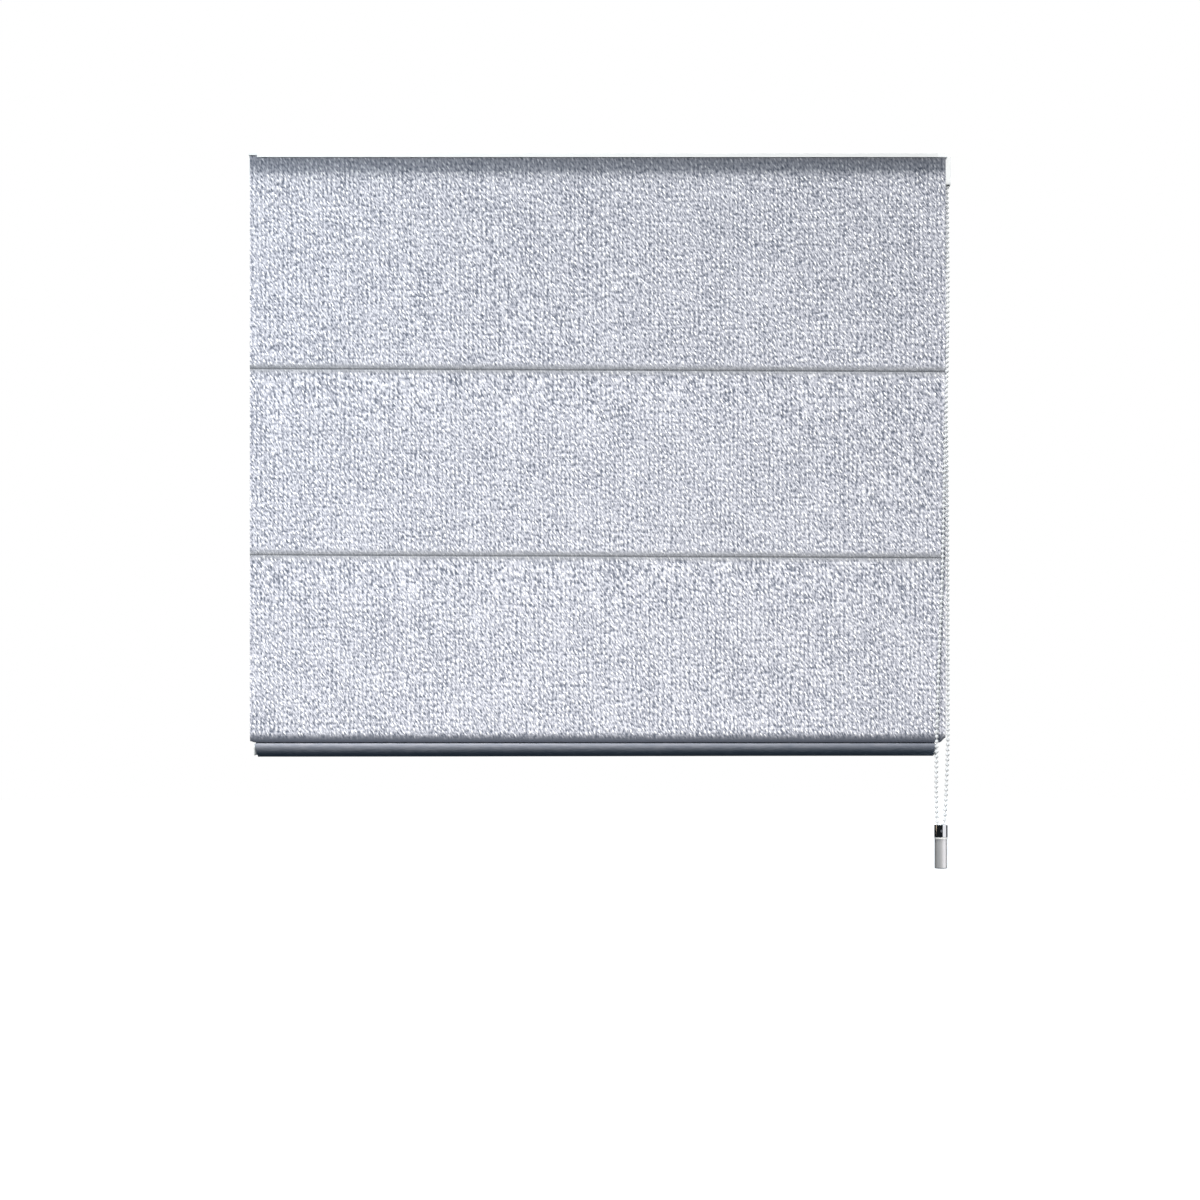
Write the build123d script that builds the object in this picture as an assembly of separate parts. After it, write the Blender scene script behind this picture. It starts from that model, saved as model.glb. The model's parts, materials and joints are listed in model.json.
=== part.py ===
from build123d import *
import math
import os

# A roman blind, hanging from its headrail and let right down.
# Millimetres. +Z is up and the front faces -Y. The origin is where the ceiling plane meets
# the middle of the pattern of ceiling screw holes, so all of the blind hangs below z = 0.

# ---------------------------------------------------------------- driving dimensions

# cloth
blind_width = 835.0  # cloth, edge to edge
cloth_thickness = 0.8
upper_seam_drop = 260.0  # ceiling to the upper cross seam
panel_drop = 223.5  # from one seam to the next, and from the lower seam to the foot fold
seam_depth = 2.0  # how far the cloth is drawn back at a seam
seam_rise = 10.0  # height over which it is drawn back, above the seam
seam_fall = 3.0  # and below it
seam_curve = 0.25  # share of that depth reached halfway to the panel's face
foot_fold_radius = 5.2  # outer radius of the fold at the cloth's foot
foot_return = 11.0  # how far the cloth goes back up behind the foot fold
sewn_gap = 0.3  # cloth to what is sewn or stuck to it

# headrail
rail_depth = 40.0
rail_bottom = -38.0
rail_wall = 1.3
clip_room = 3.4  # height of the slot that the bracket's cam turns in
clip_opening = 20.0  # width of that slot's mouth
foot_lip = 5.0  # inward lips along the rail's open foot
hood_reach = 4.3  # the hood stands this far in front of the cloth
hood_thickness = 1.0
hood_top = -0.3
left_cap_length = 10.0
left_cap_overhang = 1.0  # the cap ends this far outside the cloth's edge
left_hood_bottom = -2.3  # the cap's part of the hood is thinner than the rail's
rail_right_inset = 9.5  # the rail's right end, inside the cloth's edge
plug_length = 12.0  # the end pieces reach this far into the rail
plug_wall = 1.5
plug_slack = 0.3
end_wall = 2.0
hood_overlap = 2.0  # the drive unit's hood ends this far outside the cloth's edge

# tapes that hold the cloth on the rail
tape_height = 20.0
tape_thickness = 1.0
tape_top = -8.5
tape_inset = 12.0

# brackets
bracket_spacing = 560.0
bracket_plate = 1.6
bracket_bend = 2.4  # outer radius of its bend
bracket_width = 28.0
bracket_ear = 12.0  # the plate is this much wider on the outboard side, for the ceiling screws
bracket_front = 16.0
wall_gap = 4.0  # wall to the back of the rail
flange_drop = 34.0
screw_hole_radius = 2.2
ceiling_hole_offset = 16.0  # from the cam's pivot, outboard
ceiling_hole_spacing = 16.0
wall_hole_spacing = 14.0
wall_hole_middle = -20.0
cam_plate = 1.5
cam_slack = 0.3
cam_hub_radius = 6.0
cam_wing_length = 34.0
cam_wing_width = 13.0
lever_length = 24.0
lever_width = 10.0
rivet_radius = 2.4
rivet_head_radius = 4.2
rivet_head_height = 0.8
rivet_rim = 0.4  # the plate's thickness left below the countersink
hole_slack = 0.1  # round a rivet, a screw or a cap's rod

# drive shaft, spools and cradles
shaft_z = -23.5
shaft_side = 5.0
shaft_slack = 0.1  # between the square shaft and each square bore, all round
cord_spacing = 290.0
cord_diameter = 1.2
drum_radius = 8.0
drum_length = 22.0
spool_flange_radius = 11.0
spool_flange = 1.6
journal_radius = 5.0
journal_slack = 0.3
journal_overhang = 0.8  # past the bearing's wall
cord_turns = 3
cradle_gap = 0.6
cradle_wall = 2.0
cradle_floor = 1.5
cradle_wall_depth = 24.0
cradle_rise = 7.0  # bearing walls, above the shaft's axis
snap_width = 0.4  # a bearing's mouth is narrower than its bore by this on each side
bush_length = 7.0
bush_gap = 0.3  # end cap's wall to the bush, and again to the shaft

# drive unit
bead_diameter = 4.5
bead_pitch = 6.0
wheel_pockets = 14
chain_slack = 0.35  # between the chain and what it runs past
housing_wall = 3.0
housing_shell = 1.5
cover_thickness = 1.2
cover_corner = 5.0
cover_edge = 0.5  # rounding of the cover's outer edge
running_gap = 0.3
rim_thickness = 1.6
rim_rise = 1.2  # the rim stands this far past the pitch circle
bead_seat_radius = 2.5  # a pocket in the groove for each bead
bead_seat_rise = 1.6  # its centre, above the groove
rim_notch_radius = 2.4  # and a notch in the rim beside it
rim_notch_rise = 1.8  # its centre, past the pitch circle
core_radius = 6.5
core_bore = 4.3
core_flange_radius = 10.0
core_flange = 3.3
face_gap = 0.1  # between faces that only touch through a joint
spring_wire = 1.5
spring_end_turn = 35.0  # its two ends stand this many degrees either side of the top
cup_radius = 9.0
cup_floor = 3.5  # the wheel's solid end, right of the clutch
core_end_gap = 0.5
spring_gap = 0.6
hub_radius = 7.5
hub_length = 13.0
hub_floor = 1.5
hub_stub_radius = 4.0
cover_screw_radius = 1.3
cover_screw_head = 2.4
screw_seat = 0.7
screw_cross = (0.8, 2.8, 0.6)  # depth, length and width of each slot, centred on the cover's face
cover_screw_length = 6.0
boss_radius = 2.6

# battens in their pockets
batten_diameter = 5.0
batten_inset = 9.5
batten_cap_length = 5.0
batten_cap_wall = 0.9
batten_cap_end = 1.5
cap_gap = 0.5  # from the pocket's end to the cap
pocket_slack = 0.4
pocket_height = 9.4
pocket_tail = 7.0  # the sewn edge above the tunnel
ring_wire_radius = 0.8
ring_radius = 3.0

# bottom bar in the hem
hem_gap = 0.8  # foot fold to the top of the hem
hem_height = 16.2
hem_depth = 9.0
hem_lean = 20.0  # degrees by which its top leans forward
hem_left = -411.4
hem_right = 405.0
bar_slack = 0.7
bar_wall = 1.2
bar_cap = 1.5
bar_plug_length = 8.0
bar_lid_rim = 0.5
hem_tail = 15.0  # the hem is sewn on this far above the foot fold
anchor_width = 10.0
anchor_height = 10.0
anchor_depth = 5.0
anchor_drop = 4.0  # from the hem tail's top
anchor_corner = 1.2
anchor_hole_slack = 0.3  # round the cord

# chain weight
weight_forward = 28.0  # in front of the shaft's axis
weight_inset = 8.8  # from the chain wheel's plane
collar_top = -804.8
collar_bottom = -819.8
ring_bottom = -822.0
weight_bottom = -857.4
collar_radius = 8.0
collar_wall = 1.1
collar_floor = 0.8
ring_outer = 7.9
body_radius = 7.6
spigot_radius = 3.9
pin_radius = 1.5
pin_z = -812.0
collar_edge = 0.35  # rounding of the collar's two rims
body_edge = 1.2  # and of the body's foot
spigot_slack = 0.1
pin_slack = 0.05
pin_recess = 0.1  # the pin's ends lie this far inside the collar's face

# ---------------------------------------------------------------- worked-out places

cloth_right = blind_width / 2
rail_front = -rail_depth / 2
rail_back = rail_depth / 2
rail_top = -(bracket_plate + cam_plate + 2 * cam_slack)
lip_bottom = rail_top - rail_wall
web_top = lip_bottom - clip_room
web_bottom = web_top - rail_wall
floor_top = rail_bottom + rail_wall
hood_bottom = rail_top - hood_thickness
cloth_back = rail_front - 2 * tape_thickness - sewn_gap
cloth_front = cloth_back - cloth_thickness
hood_front = cloth_front - hood_reach
cloth_top = hood_bottom - sewn_gap
upper_seam = -upper_seam_drop
lower_seam = upper_seam - panel_drop
foot_z = lower_seam - panel_drop
left_end = -cloth_right - left_cap_overhang
rail_left = left_end + left_cap_length
rail_right = cloth_right - rail_right_inset
wall_y = rail_back + wall_gap

bead_radius = bead_diameter / 2
chain_x = cloth_right + chain_slack + bead_radius
pitch_radius = bead_pitch / (2 * math.sin(math.pi / wheel_pockets))
housing_face = rail_right + housing_wall
cover_inner = chain_x + bead_radius + chain_slack
cover_outer = cover_inner + cover_thickness
wheel_left = housing_face + 2 * running_gap
wheel_right = cover_inner - running_gap
rim_right = chain_x - bead_radius - chain_slack
groove_radius = pitch_radius - bead_radius - running_gap
cup_end = wheel_right - cup_floor
core_left = rail_right - face_gap - core_flange
core_right = cup_end - core_end_gap
square_bore = shaft_side + 2 * shaft_slack

pocket_front = cloth_back + seam_depth + sewn_gap
pocket_depth = batten_diameter + 2 * pocket_slack + 2 * cloth_thickness
pocket_middle = pocket_front + pocket_depth / 2
batten_end = cloth_right - batten_inset

cord_radius = cord_diameter / 2
cord_y = pocket_front + pocket_depth + face_gap + ring_wire_radius + ring_radius
turns_inner = drum_radius + face_gap
turns_outer = turns_inner + cord_diameter
cord_top = shaft_z - math.sqrt(turns_outer**2 - drum_radius**2) - sewn_gap
shaft_y = cord_y + turns_inner + cord_radius

foot_back = cloth_front + 2 * foot_fold_radius
hem_back = foot_back + sewn_gap + cloth_thickness
hem_run = (hem_height - hem_depth) / 2
hem_middle_y = hem_back - hem_depth / 2 - hem_run * math.sin(math.radians(hem_lean))
hem_top = foot_z - hem_gap
hem_middle_z = hem_top - hem_depth / 2 - hem_run * math.cos(math.radians(hem_lean))
hem_tail_top = foot_z + hem_tail
bar_height = hem_height - 2 * (cloth_thickness + bar_slack)
bar_depth = hem_depth - 2 * (cloth_thickness + bar_slack)

# The chain: a loop whose two ends meet over the wheel. Its points are (x from the wheel's plane,
# y from its axis, z). It goes down in front of the cloth's edge, round the pin and up again
# beside the cloth.
chain_route = [
    (0.0, 4.6, -10.02),
    (0.0, -5.58, -10.02),
    (0.0, -13.48, -17.92),
    (0.0, -13.8, -40.0),
    (0.1, -17.0, -78.0),
    (0.0, -21.2, -132.0),
    (-0.1, -25.4, -190.0),
    (-1.2, -26.3, -252.0),
    (-3.0, -26.5, -316.0),
    (-4.4, -26.6, -380.0),
    (-5.6, -26.7, -444.0),
    (-7.0, -26.8, -506.0),
    (-9.2, -26.9, -566.0),
    (-11.6, -27.1, -626.0),
    (-13.5, -27.4, -686.0),
    (-14.4, -27.8, -744.0),
    (-14.3, -28.0, -784.0),
    (-13.2, -28.0, -802.0),
    (-12.8, -28.0, -808.5),
    (-12.75, -28.0, -813.7),
    (-10.45, -28.0, -816.0),
    (-7.15, -28.0, -816.0),
    (-4.85, -28.0, -813.7),
    (-4.8, -28.0, -808.5),
    (-4.4, -28.0, -802.0),
    (-3.3, -27.8, -784.0),
    (-1.7, -26.2, -748.0),
    (0.1, -23.2, -710.0),
    (0.4, -19.6, -656.0),
    (0.8, -15.5, -594.0),
    (1.1, -11.4, -532.0),
    (1.2, -7.5, -470.0),
    (1.1, -3.7, -408.0),
    (0.9, 0.0, -346.0),
    (0.7, 3.5, -284.0),
    (0.5, 6.8, -222.0),
    (0.3, 9.7, -162.0),
    (0.2, 11.9, -106.0),
    (0.0, 13.3, -62.0),
    (0.0, 13.7, -38.0),
    (0.0, 13.48, -17.92),
    (0.0, 6.7, -11.14),
]
weight_x = chain_x - weight_inset
weight_y = shaft_y - weight_forward

# ---------------------------------------------------------------- helpers


def block(x0, x1, y0, y1, z0, z1):
    """A box between two opposite corners."""
    middle = ((x0 + x1) / 2, (y0 + y1) / 2, (z0 + z1) / 2)
    return Pos(*middle) * Box(x1 - x0, y1 - y0, z1 - z0)


def rod_x(radius, x0, x1, y=shaft_y, z=shaft_z):
    """A cylinder that lies along X, on the shaft's axis unless told otherwise."""
    return Pos((x0 + x1) / 2, y, z) * Rot(0, 90, 0) * Cylinder(radius, x1 - x0)


def rod_z(radius, z0, z1, x, y):
    """An upright cylinder."""
    return Pos(x, y, (z0 + z1) / 2) * Cylinder(radius, z1 - z0)


def rod_y(radius, y0, y1, x, z):
    """A cylinder that lies along Y."""
    return Pos(x, (y0 + y1) / 2, z) * Rot(90, 0, 0) * Cylinder(radius, y1 - y0)


def square_x(side, x0, x1):
    """A square bar along X, on the shaft's axis."""
    half = side / 2
    return block(x0, x1, shaft_y - half, shaft_y + half, shaft_z - half, shaft_z + half)


def along_x(sketch, x0, x1):
    """A section drawn in (y, z), drawn out along X."""
    return extrude(Plane.YZ.offset(x0) * sketch, amount=x1 - x0)


def oval(depth, height, y, z, lean=0.0):
    """An oval with straight sides, its top leaning forward by some degrees, as a sketch in (y, z)."""
    return Pos(y, z) * SlotOverall(height, depth, rotation=90 + lean)


def box_section(y0, y1, z0, z1):
    """A rectangle between two corners, as a sketch in (y, z)."""
    return Pos((y0 + y1) / 2, (z0 + z1) / 2) * Rectangle(y1 - y0, z1 - z0)


nodes = {}


def keep(name, *solids):
    """Note the solids of one node."""
    nodes[name] = solids[0] if len(solids) == 1 else Compound(children=list(solids))


# ---------------------------------------------------------------- headrail


def rail_section():
    """Channel with a foot open between two lips, a clip slot on top and a hood in front."""
    half_mouth = clip_opening / 2
    section = box_section(rail_front, rail_front + rail_wall, rail_bottom, rail_top)
    section += box_section(rail_back - rail_wall, rail_back, rail_bottom, rail_top)
    section += box_section(rail_front, -half_mouth, lip_bottom, rail_top)
    section += box_section(half_mouth, rail_back, lip_bottom, rail_top)
    section += box_section(rail_front, rail_back, web_bottom, web_top)
    section += box_section(rail_front, rail_front + foot_lip, rail_bottom, floor_top)
    section += box_section(rail_back - foot_lip, rail_back, rail_bottom, floor_top)
    return section + hood_section(hood_bottom)


def hood_section(bottom):
    """The hood: a shelf in front of the rail and an upright face along its edge."""
    shelf = box_section(hood_front, rail_front + rail_wall, bottom, bottom + hood_thickness)
    face = box_section(hood_front, hood_front + rail_wall, bottom, hood_top)
    return shelf + face


def rail_room(x0, x1, inset):
    """The rail's inside between two places along it, less an inset all round."""
    half_depth = rail_depth / 2 - rail_wall - inset
    return block(x0, x1, -half_depth, half_depth, floor_top + inset, web_bottom - inset)


def rail_plug(x0, x1):
    """The hollow block by which an end piece fits inside the rail."""
    return rail_room(x0, x1, plug_slack) - rail_room(x0, x1, plug_slack + plug_wall)


def end_cap_left():
    """Closes the rail's left end and holds the bush that the shaft ends in."""
    inner_face = left_end + end_wall
    cap = block(left_end, rail_left, rail_front, rail_back, rail_bottom, rail_top)
    cap -= rail_room(inner_face, rail_left, plug_slack + plug_wall)
    cap += rail_plug(rail_left, rail_left + plug_length)
    cap += block(left_end, rail_left, rail_front, rail_front + plug_wall, rail_top, hood_top)
    cap += block(left_end, rail_left, hood_front, rail_front + plug_wall, left_hood_bottom, hood_top)
    bore = journal_radius + journal_slack
    cap += rod_x(bore + plug_wall, inner_face, rail_left)
    return cap - rod_x(bore, inner_face, rail_left)


keep("headrail", along_x(rail_section(), rail_left, rail_right))
keep("end_cap_left", end_cap_left())
tape_ends = (rail_left + tape_inset, rail_right - tape_inset)
keep(
    "hook_tape",
    block(*tape_ends, rail_front - tape_thickness, rail_front, tape_top - tape_height, tape_top),
)
keep(
    "loop_tape",
    block(
        *tape_ends, rail_front - 2 * tape_thickness, rail_front - tape_thickness,
        tape_top - tape_height, tape_top,
    ),
)

# ---------------------------------------------------------------- brackets


def bracket(side):
    """Bent plate: screwed to the ceiling or the wall. side is -1 on the left, 1 on the right."""
    outline = Polyline(
        (-bracket_front, 0), (wall_y, 0), (wall_y, -flange_drop),
        (wall_y - bracket_plate, -flange_drop), (wall_y - bracket_plate, -bracket_plate),
        (-bracket_front, -bracket_plate), close=True,
    )
    section = make_face(outline)
    bends = section.vertices().filter_by_position(Axis.X, wall_y - bracket_plate, wall_y)
    outer = bends.filter_by_position(Axis.Y, 0, 0)
    section = fillet(outer, bracket_bend)
    pivot = side * bracket_spacing / 2
    inboard = pivot - side * bracket_width / 2
    outboard = pivot + side * (bracket_width / 2 + bracket_ear)
    plate = along_x(section, min(inboard, outboard), max(inboard, outboard))
    for step in (-0.5, 0.5):
        hole_x = pivot + side * ceiling_hole_offset
        plate -= rod_z(screw_hole_radius, -bracket_plate, 0, hole_x, step * ceiling_hole_spacing)
        hole_z = wall_hole_middle + step * wall_hole_spacing
        plate -= rod_y(screw_hole_radius, wall_y - bracket_plate, wall_y, pivot, hole_z)
    plate -= rod_z(rivet_radius + hole_slack, -bracket_plate, 0, pivot, 0)
    return plate - rivet_cone(pivot, hole_slack)


def rivet_cone(pivot, slack):
    """The rivet's countersunk head, grown by slack for its seat in the plate."""
    wide = rivet_head_radius + slack
    height = bracket_plate - rivet_rim
    return Pos(pivot, 0, -height / 2) * Cone(rivet_radius + slack, wide, height)


def bracket_cam(side):
    """Lever above the rail and wing under its lips, joined by a hub. Locked as it stands."""
    pivot = side * bracket_spacing / 2
    lever_top = -bracket_plate - cam_slack
    wing_top = lip_bottom - cam_slack
    reach = pivot - side * (lever_length - lever_width / 2)
    hub = rod_z(cam_hub_radius, wing_top - cam_plate, lever_top, pivot, 0)
    lever = block(
        min(pivot, reach), max(pivot, reach), -lever_width / 2, lever_width / 2,
        lever_top - cam_plate, lever_top,
    )
    lever += rod_z(lever_width / 2, lever_top - cam_plate, lever_top, reach, 0)
    wing = block(
        pivot - cam_wing_width / 2, pivot + cam_wing_width / 2,
        -cam_wing_length / 2, cam_wing_length / 2, wing_top - cam_plate, wing_top,
    )
    wing &= rod_z(cam_wing_length / 2, wing_top - cam_plate, wing_top, pivot, 0)
    bore = rod_z(rivet_radius + 2 * hole_slack, wing_top - cam_plate, lever_top, pivot, 0)
    return hub + lever + wing - bore


def bracket_rivet(side):
    """Holds the cam to its plate, and lets it turn."""
    pivot = side * bracket_spacing / 2
    foot = lip_bottom - cam_slack - cam_plate - 2 * hole_slack
    shank = rod_z(rivet_radius, foot, -bracket_plate / 2, pivot, 0)
    head = rod_z(rivet_head_radius, foot - rivet_head_height, foot, pivot, 0)
    return shank + head + rivet_cone(pivot, 0)


for side, word in ((-1, "left"), (1, "right")):
    keep("bracket_" + word, bracket(side))
    keep("bracket_cam_" + word, bracket_cam(side))
keep("bracket_rivets", bracket_rivet(-1), bracket_rivet(1))

# ---------------------------------------------------------------- shaft, spools and cradles

spool_places = {"left": -cord_spacing, "centre": 0.0, "right": cord_spacing}
drum_end = drum_length / 2
flange_end = drum_end + spool_flange
wall_start = flange_end + cradle_gap
wall_end = wall_start + cradle_wall
journal_end = wall_end + journal_overhang


def spool(x):
    """Drum between two flanges, with a journal at each end and a square bore."""
    body = rod_x(drum_radius, x - drum_end, x + drum_end)
    for way in (-1, 1):
        inner, outer = sorted((x + way * drum_end, x + way * flange_end))
        body += rod_x(spool_flange_radius, inner, outer)
        inner, outer = sorted((x + way * flange_end, x + way * journal_end))
        body += rod_x(journal_radius, inner, outer)
    return body - square_x(square_bore, x - journal_end, x + journal_end)


def cradle(x):
    """Tray that sits on the rail's foot lips, with an open-topped bearing at each end."""
    half_depth = rail_depth / 2 - rail_wall - plug_slack
    tray_top = floor_top + cradle_floor
    tray = block(x - wall_end, x + wall_end, -half_depth, half_depth, floor_top, tray_top)
    bore = journal_radius + journal_slack
    half_wall = cradle_wall_depth / 2
    half_mouth = bore - snap_width
    wall_top = shaft_z + cradle_rise
    for way in (-1, 1):
        near, far = sorted((x + way * wall_start, x + way * wall_end))
        tray += block(near, far, shaft_y - half_wall, shaft_y + half_wall, tray_top, wall_top)
    tray -= rod_x(bore, x - wall_end, x + wall_end)
    mouth = (shaft_y - half_mouth, shaft_y + half_mouth)
    tray -= block(x - wall_end, x + wall_end, *mouth, shaft_z, wall_top)
    return tray - rod_z(2 * cord_diameter, floor_top, tray_top, x, cord_y)


def wound_turns(x):
    """The last turns of cord, which stay on the drum when the blind is right down."""
    half = cord_turns * cord_diameter / 2
    return rod_x(turns_outer, x - half, x + half) - rod_x(turns_inner, x - half, x + half)


bush_left = left_end + end_wall + bush_gap
hub_left = core_left - running_gap - hub_length
shaft_right = hub_left + hub_length - hub_floor - running_gap
keep("drive_shaft", square_x(shaft_side, bush_left + bush_gap, shaft_right))
keep(
    "shaft_bush",
    rod_x(journal_radius, bush_left, bush_left + bush_length)
    - square_x(square_bore, left_end, rail_left),
)
for word, x in spool_places.items():
    keep("spool_" + word, spool(x))
    keep("spool_cradle_" + word, cradle(x))
keep("wound_cord", *[wound_turns(x) for x in spool_places.values()])

# ---------------------------------------------------------------- drive unit


def housing_profile():
    """The rail's outline with its two lower corners rounded, as a sketch in (y, z)."""
    outline = box_section(rail_front, rail_back, rail_bottom, rail_top)
    return fillet(outline.vertices().sort_by(Axis.Y)[:2], cover_corner)


def screw_places():
    """Where the cover's two screws go, as (y, z)."""
    inset = boss_radius + housing_shell - snap_width
    return [(way * (rail_back - inset), rail_top - inset) for way in (-1, 1)]


def drive_housing():
    """Shell round the chain wheel, open below, with a plug in the rail and its own hood end."""
    shell = along_x(housing_profile(), rail_right, cover_inner)
    room = block(
        housing_face, cover_inner, rail_front + housing_shell, rail_back - housing_shell,
        rail_bottom, rail_top - housing_shell,
    )
    shell -= room
    for y, z in screw_places():
        shell += rod_x(boss_radius, housing_face, cover_inner, y, z)
        shell -= rod_x(cover_screw_radius, housing_face, cover_inner, y, z)
    shell += rail_plug(rail_right - plug_length, rail_right)
    hood_right = cloth_right + hood_overlap
    hood = along_x(hood_section(hood_bottom), rail_right, hood_right)
    shell += hood - block(rail_right, hood_right, rail_front + housing_shell, 0, rail_bottom, hood_top)
    return shell - rod_x(core_radius + running_gap, rail_right, housing_face)


def drive_cover():
    """Closes the chain wheel's room, held by two countersunk screws."""
    cover = along_x(housing_profile(), cover_inner, cover_outer)
    cover = fillet(cover.edges().filter_by_position(Axis.X, cover_outer, cover_outer), cover_edge)
    for y, z in screw_places():
        cover -= rod_x(cover_screw_head + hole_slack, cover_outer - screw_seat, cover_outer, y, z)
        cover -= rod_x(cover_screw_radius + hole_slack, cover_inner, cover_outer, y, z)
    return cover


def cover_screw(y, z):
    """Low cylinder head with a cross cut, and its shank in the boss."""
    head = rod_x(cover_screw_head, cover_outer - screw_seat, cover_outer + face_gap, y, z)
    shank_left = cover_inner - cover_screw_length
    shank = rod_x(cover_screw_radius - hole_slack, shank_left, cover_outer - screw_seat, y, z)
    for turn in (0, 90):
        cut = Pos(cover_outer, y, z) * Rot(turn, 0, 0) * Box(*screw_cross)
        head -= cut
    return head + shank


def clutch_core():
    """Fixed tube that the wrap spring grips. Its flange sits on the housing's inner side."""
    core = rod_x(core_flange_radius, core_left, core_left + core_flange)
    core += rod_x(core_radius, core_left, core_right)
    return core - rod_x(core_bore, core_left, core_right)


def clutch_spring():
    """Close-wound wrap spring, as a sleeve with its two bent ends."""
    inner = core_radius + running_gap
    outer = inner + spring_wire
    left = wheel_left + spring_gap
    right = core_right - spring_gap / 3
    sleeve = rod_x(outer, left, right) - rod_x(inner, left, right)
    for turn, x in (
        (spring_end_turn, left + spring_wire / 2), (-spring_end_turn, right - spring_wire / 2),
    ):
        end = Pos(x, shaft_y, shaft_z) * Rot(turn, 0, 0) * Pos(0, 0, outer - spring_wire / 3)
        sleeve += end * Box(spring_wire, spring_wire, spring_wire)
    return sleeve


def output_hub():
    """Takes the wheel's turn through the fixed core to the square shaft."""
    hub = rod_x(hub_radius, hub_left, hub_left + hub_length)
    hub -= square_x(square_bore, hub_left, shaft_right + running_gap)
    hub += rod_x(hub_stub_radius, hub_left + hub_length, cup_end)
    return hub + square_x(shaft_side, cup_end, wheel_right - running_gap)


def chain_wheel():
    """Grooved wheel with a pocket for each bead, hollow where the clutch sits."""
    wheel = rod_x(groove_radius, wheel_left, wheel_right)
    wheel += rod_x(pitch_radius + rim_rise, rim_right - rim_thickness, rim_right)
    wheel -= rod_x(cup_radius, wheel_left, cup_end)
    wheel -= square_x(square_bore, cup_end, wheel_right)
    for number in range(wheel_pockets):
        turn = Pos(chain_x, shaft_y, shaft_z) * Rot(number * 360 / wheel_pockets, 0, 0)
        wheel -= turn * Pos(0, 0, groove_radius + bead_seat_rise) * Sphere(bead_seat_radius)
        notch = Pos(rim_right - chain_x - rim_thickness / 2, 0, pitch_radius + rim_notch_rise)
        wheel -= turn * notch * Rot(0, 90, 0) * Cylinder(rim_notch_radius, rim_thickness)
    return wheel


keep("drive_housing", drive_housing())
keep("drive_cover", drive_cover())
keep("cover_screws", *[cover_screw(y, z) for y, z in screw_places()])
keep("clutch_core", clutch_core())
keep("clutch_spring", clutch_spring())
keep("output_hub", output_hub())
keep("chain_wheel", chain_wheel())

# ---------------------------------------------------------------- cloth


def cloth_line():
    """The cloth's front line in (y, z), from its top edge to the start of the foot fold."""
    line = []
    start = (cloth_front, cloth_top)
    for seam in (upper_seam, lower_seam):
        above = (cloth_front, seam + seam_rise)
        deepest = (cloth_front + seam_depth, seam)
        below = (cloth_front, seam - seam_fall)
        line.append(Line(start, above))
        halfway = cloth_front + seam_depth * seam_curve
        line.append(ThreePointArc(above, (halfway, seam + seam_rise / 2), deepest))
        line.append(ThreePointArc(deepest, (halfway, seam - seam_fall / 2), below))
        start = below
    line.append(Line(start, (cloth_front, foot_z + foot_fold_radius)))
    return line


def cloth():
    """One sheet: three panels, two seams, and a fold at the foot that goes back up behind."""
    front = cloth_line()
    back = [Pos(cloth_thickness, 0) * edge for edge in front]
    fold_z = foot_z + foot_fold_radius
    ends = [
        Line((cloth_front, cloth_top), (cloth_back, cloth_top)),
        Line((cloth_front, fold_z), (cloth_back, fold_z)),
    ]
    section = make_face(front + back + ends)
    middle = Pos(cloth_front + foot_fold_radius, fold_z)
    fold = middle * (Circle(foot_fold_radius) - Circle(foot_fold_radius - cloth_thickness))
    section += fold & box_section(cloth_front, foot_back, foot_z, fold_z)
    section += box_section(foot_back - cloth_thickness, foot_back, fold_z, fold_z + foot_return)
    return along_x(section, -cloth_right, cloth_right)


keep("cloth", cloth())

# ---------------------------------------------------------------- battens


def tunnel(depth, height, y, z, lean=0.0):
    """The outside and the inside of a sewn tunnel, as two sections."""
    inner = oval(depth - 2 * cloth_thickness, height - 2 * cloth_thickness, y, z, lean)
    return oval(depth, height, y, z, lean), inner


def batten_pocket(seam):
    """Tunnel sewn to the back of the cloth by its upper edge."""
    outer, inner = tunnel(pocket_depth, pocket_height, pocket_middle, seam)
    tail = box_section(
        pocket_front, pocket_front + cloth_thickness, seam, seam + pocket_height / 2 + pocket_tail
    )
    pocket_end = batten_end - batten_cap_length - cap_gap
    return along_x(outer + tail - inner, -pocket_end, pocket_end)


def batten_caps(seam):
    """A blind-ended cap on each end of the rod."""
    radius = batten_diameter / 2
    caps = []
    for way in (-1, 1):
        mouth = way * (batten_end - batten_cap_length + batten_cap_end)
        tip = way * (batten_end + batten_cap_end)
        floor = way * (batten_end + hole_slack)
        cap = rod_x(radius + hole_slack + batten_cap_wall, *sorted((mouth, tip)), pocket_middle, seam)
        hole = rod_x(radius + hole_slack, *sorted((mouth, floor)), pocket_middle, seam)
        caps.append(cap - hole)
    return caps


def cord_ring(x, seam):
    """Ring behind the pocket that a lift cord runs through."""
    return Pos(x, cord_y, seam) * Torus(ring_radius, ring_wire_radius)


for word, seam in (("upper", upper_seam), ("lower", lower_seam)):
    keep("batten_rod_" + word, rod_x(batten_diameter / 2, -batten_end, batten_end, pocket_middle, seam))
    keep("batten_caps_" + word, *batten_caps(seam))
    keep("batten_pocket_" + word, batten_pocket(seam))
    keep("cord_rings_" + word, *[cord_ring(x, seam) for x in spool_places.values()])

# ---------------------------------------------------------------- bottom bar and hem


def hem_pocket():
    """Tunnel of cloth round the bar, sewn by its tail behind the foot fold."""
    outer, inner = tunnel(hem_depth, hem_height, hem_middle_y, hem_middle_z, hem_lean)
    foot = hem_middle_z - hem_run
    tail = box_section(hem_back - cloth_thickness, hem_back, foot, hem_tail_top)
    return along_x(outer + tail - inner, hem_left, hem_right)


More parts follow.
